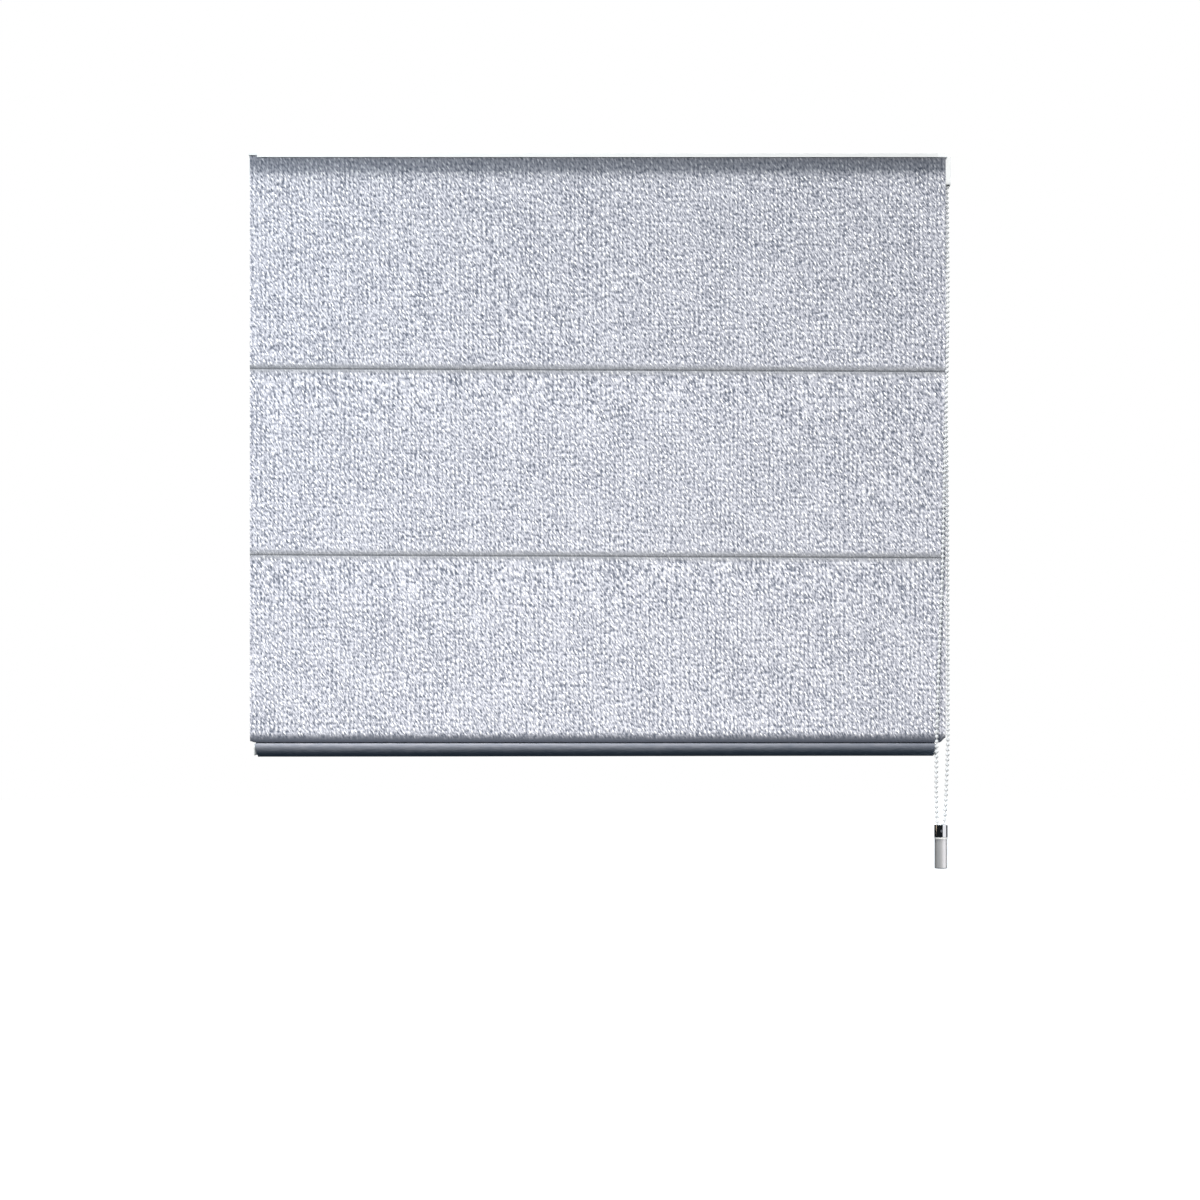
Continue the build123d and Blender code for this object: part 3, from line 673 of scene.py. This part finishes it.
class Paint:
    """One material, being wired."""

    def __init__(self, name):
        self.material = bpy.data.materials.new(name)
        self.material.use_nodes = True
        self.tree = self.material.node_tree
        self.tree.nodes.clear()
        self.place = self.add("TexCoord", {}, {}, "Object")

    def add(self, kind, settings, sockets, result=0):
        """Add a node: its settings first, then its sockets. Returns one of its results."""
        node = self.tree.nodes.new("ShaderNode" + kind)
        for key, value in settings.items():
            if key == "stops":
                self.set_ramp(node.color_ramp, value)
            else:
                setattr(node, key, value)
        for key, value in sockets.items():
            if isinstance(value, Wire):
                self.tree.links.new(value.socket, node.inputs[key])
            else:
                node.inputs[key].default_value = value
        return Wire(self, node.outputs[result]) if len(node.outputs) else node

    @staticmethod
    def set_ramp(ramp, stops):
        """Give a colour ramp its stops."""
        while len(ramp.elements) < len(stops):
            ramp.elements.new(0.5)
        for element, (position, colour) in zip(ramp.elements, stops):
            element.position = position
            element.color = (*colour, 1.0)

    def sized(self, x, y, z, turn=0.0):
        """The place on the piece, counted in features of this many metres each way."""
        return self.add(
            "Mapping", {"vector_type": "TEXTURE"},
            {"Vector": self.place, "Scale": (x, y, z), "Rotation": (0.0, math.radians(turn), 0.0)},
        )

    def noise(self, where, detail=2.0, roughness=0.5):
        """Cloudy noise from 0 to 1."""
        return self.add("TexNoise", {}, {
            "Vector": where, "Scale": 1.0, "Detail": detail, "Roughness": roughness,
        })

    def ramp(self, value, stops):
        """A colour for each value."""
        return self.add("ValToRGB", {"stops": stops}, {"Fac": value})

    def calc_wave(self, value):
        """A round bump for each whole number that the value passes."""
        return 0.5 - 0.5 * self.add("Math", {"operation": "COSINE"}, {0: value * FULL_TURN})

    def step(self, value, low, high):
        """0 below low and 1 above high, smoothly."""
        return self.add("MapRange", {"interpolation_type": "SMOOTHSTEP"}, {
            "Value": value, "From Min": low, "From Max": high,
        })

    def mix(self, share, a, b):
        """A colour between two others."""
        colours = [c if isinstance(c, Wire) else (*c, 1.0) for c in (a, b)]
        return self.add("Mix", {"data_type": "RGBA"}, {0: share, 6: colours[0], 7: colours[1]}, 2)

    def bump(self, height, distance, strength=1.0):
        """Relief of that height in metres."""
        return self.add("Bump", {}, {"Height": height, "Distance": distance, "Strength": strength})

    def finish(self, **sockets):
        """The surface itself."""
        words = {key.replace("_", " "): value for key, value in sockets.items()}
        surface = self.add("BsdfPrincipled", {}, words)
        self.add("OutputMaterial", {}, {"Surface": surface})
        return self.material


print("kit ready")

# %% [markdown]
# ## The cloth's weave
#
# The cloth is a coarse weave of uneven white yarn over a lavender-grey ground. Close to, it is
# a field of small slanting grains, each a yarn that shows between two crossings. They stand in
# rough columns, and here and there a thicker or thinner yarn runs down or across.
#
# The cloth is counted off in yarns across and grains along each yarn. A random number for each
# yarn shifts its grains, and one for each grain moves it and makes it bright or dull. Slow
# noise bends the whole count a little, and makes zones that are finer or coarser.
#
# Masks by height paint shade into the colour: close to a seam, in the hood's shadow and in the
# fold at the foot they calm the pattern, as shade does. Under the hood they darken it as a
# painted shadow, in the crease of the fold as painted shade, and near a seam they mix in a dark
# grey as painted shade. The seams run downhill, so their mask does too.

# %% Weave
# The grain: sizes in metres, then shifts and narrowness in yarns across and grains along.
YARN_PITCH = 0.0053
GRAIN_LENGTH = 0.0078
GRAIN_SLANT = 0.85
BEND = (0.5, 0.0, 1.0)
JITTER_ACROSS, JITTER_ALONG = 0.60, 0.45
NARROW_ACROSS, NARROW_ALONG = 5.2, 3.2

# The noises: size of a feature each way, in metres. The fuzz leans in degrees.
DRIFT_SIZE = (0.028, 0.028, 0.04)
ZONE_SIZE = (0.04, 1.0, 0.07)
DOWN_SIZE = (0.0019, 1.0, 0.060)
OVER_SIZE = (0.060, 1.0, 0.0028)
FUZZ_SIZE = (0.0018, 0.0018, 0.0040)
FUZZ_LEAN = -24.0

# The masks: heights from the ceiling, or distance from a seam, where each starts and ends.
# Each of these marks painted shade: in the fold, in the hood's shadow, beside the seams, in the
# crease.
FOLD_SHADE = (-0.7045, -0.6945)
HOOD_SHADE = (-0.031, -0.009)
SEAM_CALM = (0.0008, 0.0085)
CREASE_SHADE = (-0.7055, -0.6940)

# How much each kind of unevenness shows, about the middle tone.
MIDDLE_TONE = 0.47
CALM_TONE = 0.42
YARN_SHARE = 0.78
COLUMN_SHARE = 0.08
DOWN_SHARE = 0.32
OVER_SHARE = 0.28
FUZZ_SHARE = 0.94

# From the ground between the yarns up to their tops.
WEAVE_COLOURS = [
    (0.00, (0.13, 0.145, 0.185)), (0.33, (0.46, 0.465, 0.52)),
    (0.60, (0.72, 0.722, 0.76)), (0.95, (0.97, 0.965, 0.96)),
]
# The dark grey-blue that paints the shade beside each seam.
SEAM_SHADE_COLOUR = (0.240, 0.247, 0.265)


def weave():
    """Coarse slubbed cloth, with painted shade at the seams, under the hood and in the fold."""
    paint = Paint("cloth_weave")
    drift = paint.add("TexNoise", {}, {"Vector": paint.sized(*DRIFT_SIZE), "Scale": 1.0}, 1)
    bent = paint.add("VectorMath", {"operation": "MULTIPLY_ADD"}, {
        0: drift, 1: BEND, 2: paint.sized(YARN_PITCH, 1.0, GRAIN_LENGTH),
    })
    across = paint.add("SeparateXYZ", {}, {"Vector": bent})
    along = across.beside(2)
    yarn_number = across.calc("FLOOR", across)
    shift = paint.add("TexWhiteNoise", {"noise_dimensions": "1D"}, {"W": yarn_number})
    along = along + shift * 5.0
    grain_number = along.calc("FLOOR", along)
    cell = paint.add("CombineXYZ", {}, {"X": yarn_number, "Y": grain_number})
    lean = paint.add("TexWhiteNoise", {"noise_dimensions": "2D"}, {"Vector": cell})
    luck = paint.add("SeparateColor", {}, {"Color": lean.beside(1)})
    x = across - yarn_number - 0.5 + (luck - 0.5) * JITTER_ACROSS
    z = along - grain_number - 0.5 + (luck.beside(1) - 0.5) * JITTER_ALONG
    slanted = x + z * ((lean + 0.25) * GRAIN_SLANT)
    off_centre = ((slanted * NARROW_ACROSS) ** 2.0 + (z * NARROW_ALONG) ** 2.0) ** 0.5
    grain = 1 - paint.step(off_centre, 0.35, 1.30)
    column = paint.calc_wave(across)
    zones = paint.step(paint.noise(paint.sized(*ZONE_SIZE), 3.0), 0.32, 0.66)
    down = paint.noise(paint.sized(*DOWN_SIZE), 1.0)
    over = paint.noise(paint.sized(*OVER_SIZE), 1.0)
    fuzz = paint.noise(paint.sized(*FUZZ_SIZE, FUZZ_LEAN), 0.0)
    yarn = grain * (0.25 + 0.85 * luck.beside(2)) - 0.30
    show = MIDDLE_TONE + yarn * YARN_SHARE * (0.8 + 0.2 * zones)
    show = show + (column - 0.5) * COLUMN_SHARE + (down - 0.5) * DOWN_SHARE
    show = show + (over - 0.5) * OVER_SHARE + (fuzz - 0.5) * FUZZ_SHARE
    # Painted shade: near the seams, in the hood's shadow and in the fold the pattern is calmed and
    # darkened.
    side = paint.add("SeparateXYZ", {}, {"Vector": paint.place})
    height = side.beside(2)
    level = height + side * (SEAM_FALL / cloth_right) - SEAM_FALL / 2
    to_upper = height.calc("ABSOLUTE", level - UPPER_SEAM)
    to_lower = height.calc("ABSOLUTE", level - LOWER_SEAM)
    painted_seam_shade = 1 - paint.step(height.calc("MINIMUM", to_upper, to_lower), *SEAM_CALM)
    painted_hood_shadow = paint.step(height, *HOOD_SHADE)
    in_fold = 1 - paint.step(height, *FOLD_SHADE)
    painted_crease_shade = 1 - paint.step(height, *CREASE_SHADE)
    strength = (1 - in_fold) * (1 - 0.5 * painted_hood_shadow) * (1 - 0.45 * painted_seam_shade)
    show = CALM_TONE + (show - CALM_TONE) * strength
    # Painted shadow under the hood, and painted shade in the crease of the fold.
    show = show - 0.16 * painted_hood_shadow - 0.42 * painted_crease_shade
    return paint.finish(
        Base_Color=paint.mix(0.72 * painted_seam_shade, paint.ramp(show, WEAVE_COLOURS), SEAM_SHADE_COLOUR),
        Roughness=0.92, Normal=paint.bump(show, 0.0006, 0.9), Specular_IOR_Level=0.2,
    )


cloth_finish = weave()
print("weave has", len(cloth_finish.node_tree.nodes), "nodes")

# %% [markdown]
# The strips that hold the battens and the bar are a plain lining instead: the same yarns, but
# thin and even, so that little shows beyond a fine grid and some cloudy unevenness. Its dark
# slate colour is painted shade, as dark as the hem looks in the shade of the fold.

# %% Lining
def lining():
    """Fine plain cloth, dark slate: its darkness is painted shade."""
    paint = Paint("lining")
    threads = paint.add("SeparateXYZ", {}, {"Vector": paint.sized(0.0008, 1.0, 0.0008)})
    down = paint.calc_wave(threads)
    over = paint.calc_wave(threads.beside(2))
    cloud = paint.noise(paint.sized(0.012, 0.006, 0.003), 3.0)
    slub = paint.noise(paint.sized(0.03, 0.0015, 0.0015), 2.0)
    fine = down * 0.5 + over * 0.5
    show = 0.55 * cloud + 0.25 * slub + 0.2 * fine
    return paint.finish(
        Base_Color=paint.mix(show, (0.066, 0.097, 0.15), (0.26, 0.30, 0.36)),
        Roughness=0.88, Normal=paint.bump(show, 0.0004, 0.7), Specular_IOR_Level=0.2,
    )


lining_finish = lining()

# %% [markdown]
# ## Paint and plastics
#
# The headrail is aluminium with a white powder coat, which has a fine orange-peel skin. The
# moulded pieces are smoother and duller, with a faint cloudiness, and rubbed corners shine a
# little more. All of them are one recipe with different numbers.

# %% Plastics and powder coat
def coated(name, colour, rough, peel, depth, shade=0.03, clear=0.0):
    """A nearly even surface: cloudy colour, uneven gloss and a fine skin."""
    paint = Paint(name)
    cloud = paint.noise(paint.sized(0.02, 0.02, 0.02), 3.0)
    skin = paint.noise(paint.sized(peel, peel, peel), 2.0)
    worn = paint.step(paint.noise(paint.sized(0.006, 0.006, 0.006), 4.0), 0.58, 0.75)
    dull = tuple(c * (1 - shade) for c in colour)
    return paint.finish(
        Base_Color=paint.mix(cloud, dull, colour),
        Roughness=rough + 0.10 * (cloud - 0.5) - 0.08 * worn,
        Normal=paint.bump(skin, depth),
        Coat_Weight=clear,
    )


finishes = {
    "cloth": cloth_finish,
    "white_aluminium": coated("white_powder_coat", (0.80, 0.81, 0.80), 0.36, 0.0012, 0.00003),
    "white_plastic": coated("white_moulding", (0.82, 0.83, 0.82), 0.48, 0.0006, 0.00002),
    "grey_plastic": coated("grey_moulding", (0.55, 0.56, 0.57), 0.45, 0.0006, 0.00002, 0.06),
    "natural_plastic": coated("waxy_moulding", (0.86, 0.85, 0.80), 0.40, 0.0009, 0.00002, 0.05),
    "clear_plastic": coated("milky_moulding", (0.84, 0.85, 0.84), 0.33, 0.0008, 0.00002, 0.04),
    "bead_plastic": coated("bead_moulding", (0.93, 0.93, 0.92), 0.22, 0.0008, 0.00001, 0.05),
    "pale_ring": coated("pale_ring_gloss", (0.86, 0.84, 0.80), 0.25, 0.0008, 0.00001, 0.04, 0.3),
}
print(len(finishes), "finishes")

# %% [markdown]
# ## Metals
#
# Drawn and turned metal is scored in one direction. Noise that is stretched along that way and
# very fine across it gives the scoring, in the gloss and in the relief. The chrome collar has
# next to none, and the zinc plate has a faint bloom instead.

# %% Metals
def scored(name, colour, rough, grain, depth, bloom=0.0):
    """Metal with fine lines along its longest size of grain."""
    paint = Paint(name)
    lines = paint.noise(paint.sized(*grain), 3.0, 0.6)
    patches = paint.noise(paint.sized(0.009, 0.009, 0.009), 3.0)
    dark = tuple(c * (0.86 - bloom) for c in colour)
    return paint.finish(
        Base_Color=paint.mix(0.35 * lines + 0.65 * patches, dark, colour),
        Metallic=1.0,
        Roughness=rough + 0.18 * rough * (lines - 0.5) + bloom * patches,
        Normal=paint.bump(lines, depth),
    )


finishes.update({
    "aluminium": scored(
        "drawn_aluminium", (0.82, 0.83, 0.84), 0.34, (0.2, 0.0005, 0.0005), 0.00002
    ),
    "zinc_steel": scored(
        "zinc_plate", (0.66, 0.68, 0.71), 0.32, (0.02, 0.02, 0.0008), 0.00001, 0.1
    ),
    "chrome": scored(
        "chrome_plate", (0.86, 0.87, 0.88), 0.06, (0.02, 0.02, 0.001), 0.000002
    ),
    "satin_metal": scored(
        "turned_satin", (0.90, 0.88, 0.87), 0.52, (0.03, 0.03, 0.0003), 0.000012
    ),
})


def coiled():
    """A wrap spring: bright wire, wound close, with painted shade in the grooves between the
    turns.
    """
    paint = Paint("spring_wire")
    parts = paint.add("SeparateXYZ", {}, {"Vector": paint.sized(0.0015, 1.0, 1.0)})
    round_wire = paint.calc_wave(parts)
    scale = paint.noise(paint.sized(0.004, 0.004, 0.004), 3.0)
    return paint.finish(
        Base_Color=paint.mix(round_wire, (0.20, 0.20, 0.22), (0.62, 0.63, 0.66)),
        Metallic=1.0,
        Roughness=0.28 + 0.15 * scale,
        Normal=paint.bump(round_wire, 0.0004),
    )


# %% [markdown]
# ## Tape, cord and glass fibre
#
# The touch tape is a pile of tiny hooks and loops. The cord is a braid, whose strands cross it
# at a slant from both sides. A glass fibre rod shows its fibres as long faint streaks.

# %% Tape, cord and rod
def pile(name, colour):
    """Touch tape: a field of small dots, with painted shade in the hollows between them."""
    paint = Paint(name)
    size = paint.sized(0.0012, 0.0012, 0.0012)
    dots = paint.add("TexVoronoi", {}, {"Vector": size, "Scale": 1.0})
    tops = 1 - paint.step(dots, 0.1, 0.55)
    dark = tuple(0.62 * c for c in colour)
    return paint.finish(
        Base_Color=paint.mix(tops, dark, colour), Roughness=0.9, Normal=paint.bump(tops, 0.0004)
    )


def braid():
    """Two sets of strands that cross a thin cord at a slant, with painted shade between the
    strands.
    """
    paint = Paint("braided_cord")
    strands = None
    for slant in (1.0, -1.0):
        bands = paint.add("TexWave", {"bands_direction": "DIAGONAL"}, {
            "Vector": paint.sized(slant * 0.0045, 0.0045, 0.0045), "Scale": 1.0, "Distortion": 0.4,
        }, 1)
        strands = bands if strands is None else strands.calc("MAXIMUM", strands, bands)
    return paint.finish(
        Base_Color=paint.mix(strands, (0.62, 0.62, 0.60), (0.90, 0.90, 0.88)),
        Roughness=0.8, Normal=paint.bump(strands, 0.0001),
    )


def fibre_rod():
    """Pale resin with long glass fibres."""
    paint = Paint("glass_fibre_rod")
    streaks = paint.noise(paint.sized(0.12, 0.0006, 0.0006), 3.0)
    return paint.finish(
        Base_Color=paint.mix(streaks, (0.72, 0.72, 0.62), (0.90, 0.90, 0.84)),
        Roughness=0.3 + 0.15 * streaks, Normal=paint.bump(streaks, 0.00002),
    )


finishes.update({
    "spring_steel": coiled(), "tape": pile("touch_tape", (0.86, 0.86, 0.85)), "cord": braid(),
    "glass_fibre": fibre_rod(),
})
print(len(finishes), "finishes in all")

# %% [markdown]
# ## Dress the pieces
#
# Every CAD piece says in its record which finish it takes, so one loop paints them all. The new
# pieces take theirs in the same way, from the slot that they were given.

# %% Put the finishes on
def paint_with(piece, finish):
    """Give a piece one finish all over."""
    piece.data.materials.clear()
    piece.data.materials.append(finish)
    for face in piece.data.polygons:
        face.material_index = 0


for entry in frame["record"]["subparts"]:
    paint_with(nodes[entry["node"]], finishes[entry["material_slot"]])
new_pieces = [chain, cloth, hem, wound, *pockets, *[cord for cord, _, _ in cords]]
for piece in new_pieces:
    paint_with(piece, finishes[piece["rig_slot"]])
for piece in (hem, *pockets):
    paint_with(piece, lining_finish)
print("painted", len(nodes), "nodes and", len(new_pieces), "new pieces")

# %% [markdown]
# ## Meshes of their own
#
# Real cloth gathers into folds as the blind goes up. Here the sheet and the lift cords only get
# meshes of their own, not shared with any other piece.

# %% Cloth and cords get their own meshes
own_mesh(cloth)
for cord, low, high in cords:
    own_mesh(cord)

# %% [markdown]
# ## Light and floor
#
# A woven cloth only shows its relief when the light comes steeply from above. So a soft sun
# stands high in front of the blind, where it also throws the hood's narrow shadow on the cloth.
# The white headrail would burn out under it, as seen from above, so a low sun lights that
# instead. Weaker suns from behind and from both sides keep the back and the ends from going
# dark.
#
# White beads and bright metal need lamps of their own. A bead that the high sun lit would be
# too bright to show its shape, and a metal weight shows nothing but what it mirrors: dark at
# its left, a broad pale window at its right. Light linking gives each lamp the pieces that it
# may light, so that tuning one finish leaves the others alone.

# %% Light
SUN_HEIGHT = 78.5


def aim_lamp(name, data, place, turn, pieces):
    """Put a lamp in the room, and let it light these pieces alone."""
    lamp = bpy.data.objects.new(name, data)
    lamp.location = place
    lamp.rotation_euler = turn
    bpy.context.scene.collection.objects.link(lamp)
    group = bpy.data.collections.new(name + "_lights")
    bpy.context.scene.collection.children.link(group)
    for piece in pieces:
        group.objects.link(piece)
    lamp.light_linking.receiver_collection = group


def sun(name, energy, width, tilt, turn, tint, pieces):
    """Parallel light: at a tilt of 0 degrees straight down, at 90 away from the viewer."""
    data = bpy.data.lights.new(name, "SUN")
    data.energy, data.angle, data.color = energy, math.radians(width), tint
    aim_lamp(name, data, (0, 0, 0), (math.radians(tilt), 0.0, math.radians(turn)), pieces)


def soft_box(name, place, target, size, energy, tint, pieces):
    """A square lamp that is turned towards a target."""
    data = bpy.data.lights.new(name, "AREA")
    data.size, data.energy, data.color = size, energy, tint
    away = Vector(target) - Vector(place)
    aim_lamp(name, data, place, away.to_track_quat("-Z", "Y").to_euler(), pieces)


weight = [nodes["weight_" + word] for word in ("collar", "ring", "body", "pin")]
drive_unit = [nodes["drive_housing"], nodes["drive_cover"]]
everything = [*nodes.values(), *new_pieces]
high_lit = [cloth, *pockets, *weight]
side_lit = [piece for piece in everything if piece not in (hem, chain, *weight)]
rail_lit = [piece for piece in side_lit if piece not in high_lit]

plain_white = (1.0, 1.0, 1.0)
sun_white = (1.0, 0.98, 0.95)
sky_white = (0.84, 0.93, 1.0)
sun("high_sun", 10.55, 10.0, 90.0 - SUN_HEIGHT, 0.0, sun_white, high_lit)
sun("rail_sun", 1.95, 10.0, 75.0, 0.0, sun_white, rail_lit)
sun("back_fill", 2.15, 40.0, -72.0, -20.0, plain_white, everything)
sun("right_fill", 0.9, 40.0, -80.0, -70.0, plain_white, side_lit)
sun("left_fill", 0.9, 40.0, -80.0, 70.0, plain_white, side_lit)
sun("chain_sun", 2.9, 130.0, 58.0, -25.0, plain_white, [chain])
soft_box(
    "cool_fill", (-0.95, -0.75, 0.0), (-0.1, 0.0, -0.35), 0.53, 4.6, sky_white,
    [*side_lit, *weight],
)
soft_box(
    "low_fill", (-0.1, -1.2, -1.0), (0.2, 0.0, -0.65), 0.8, 10.5, (1.0, 0.97, 0.92), [cloth]
)
soft_box(
    "hem_top", (-0.40, -0.35, 0.30), (-0.1, 0.0, -0.71), 0.5, 47.0, (1.0, 0.84, 0.73), [hem]
)
weight_middle = (0.41, -0.028, -0.84)
soft_box(
    "weight_right", (1.3, -0.50, -0.8), weight_middle, 1.4, 6.2, (0.97, 0.97, 1.0), weight
)
soft_box(
    "weight_left", (-0.3, 0.0, -0.8), weight_middle, 0.12, 0.06, (1.0, 0.80, 0.58), weight
)
soft_box(
    "body_front", (0.35, -1.6, -0.8), weight_middle, 1.2, 1.2, (1.0, 0.93, 0.87),
    [nodes["weight_body"]],
)
soft_box(
    "drive_front", (0.7, -1.2, -0.9), (0.42, 0, -0.02), 1.0, 10.0, (0.97, 0.98, 1.0),
    drive_unit,
)
print("sun at", SUN_HEIGHT, "degrees,", len(bpy.data.lights), "lamps")

# %% [markdown]
# The rest of the light comes from the room itself: a pale sky that fades out at eye height, and
# a little light from the ground. It could be an even grey all round, but then the cloth's
# relief would drown in it. The camera is shown plain white instead of that room.
#
# The floor is a wide pale disc, so far down that it catches no shadow. It shines by itself and
# throws no light back, because a white floor would fill in the shade under every seam.

# %% Room and floor
FLOOR_DEPTH, FLOOR_RADIUS = 1.6, 14.0
ROOM_COLOUR = (0.40, 0.475, 0.54, 1.0)

bpy.context.scene.view_settings.view_transform = "Standard"
room = bpy.data.worlds.new("room")
room.use_nodes = True
bpy.context.scene.world = room
tree = room.node_tree
tree.nodes.clear()
way = tree.nodes.new("ShaderNodeTexCoord")
split = tree.nodes.new("ShaderNodeSeparateXYZ")
tree.links.new(way.outputs["Generated"], split.inputs["Vector"])


def fade(start, end, low, high):
    """Light that goes from low to high between two heights of the sky."""
    node = tree.nodes.new("ShaderNodeMapRange")
    for name, value in zip(("From Min", "From Max", "To Min", "To Max"), (start, end, low, high)):
        node.inputs[name].default_value = value
    tree.links.new(split.outputs["Z"], node.inputs["Value"])
    return node.outputs["Result"]


def glow(colour):
    """Light from all round, in one colour."""
    node = tree.nodes.new("ShaderNodeBackground")
    node.inputs["Color"].default_value = colour
    return node


both = tree.nodes.new("ShaderNodeMath")
both.operation = "ADD"
tree.links.new(fade(0.0, 0.40, 0.03, 1.0), both.inputs[0])
tree.links.new(fade(-0.45, -0.85, 0.0, 0.24), both.inputs[1])
room_light = glow(ROOM_COLOUR)
tree.links.new(both.outputs[0], room_light.inputs["Strength"])
backdrop = glow((1.0, 1.0, 1.0, 1.0))
seen = tree.nodes.new("ShaderNodeLightPath")
mixed = tree.nodes.new("ShaderNodeMixShader")
tree.links.new(seen.outputs["Is Camera Ray"], mixed.inputs[0])
tree.links.new(room_light.outputs[0], mixed.inputs[1])
tree.links.new(backdrop.outputs[0], mixed.inputs[2])
end = tree.nodes.new("ShaderNodeOutputWorld")
tree.links.new(mixed.outputs[0], end.inputs["Surface"])

select_nothing()
bpy.ops.mesh.primitive_circle_add(
    vertices=96, radius=FLOOR_RADIUS, fill_type="NGON", location=(0, 0, -FLOOR_DEPTH)
)
floor = named("floor")
floor_paint = Paint("pale_floor")
tone = floor_paint.noise(floor_paint.sized(0.8, 0.8, 0.8), 2.0)
floor_paint.finish(
    Base_Color=floor_paint.mix(tone, (0.84, 0.84, 0.85), (0.88, 0.88, 0.88)), Roughness=0.9,
    Emission_Color=(0.97, 0.97, 0.97, 1.0), Emission_Strength=0.9,
)
floor.visible_diffuse = floor.visible_glossy = False
paint_with(floor, floor_paint.material)
print("floor", FLOOR_DEPTH, "m down")

# %% [markdown]
# ## Finish
#
# Last, the view layer is brought up to date.

# %% Finish
bpy.context.view_layer.update()
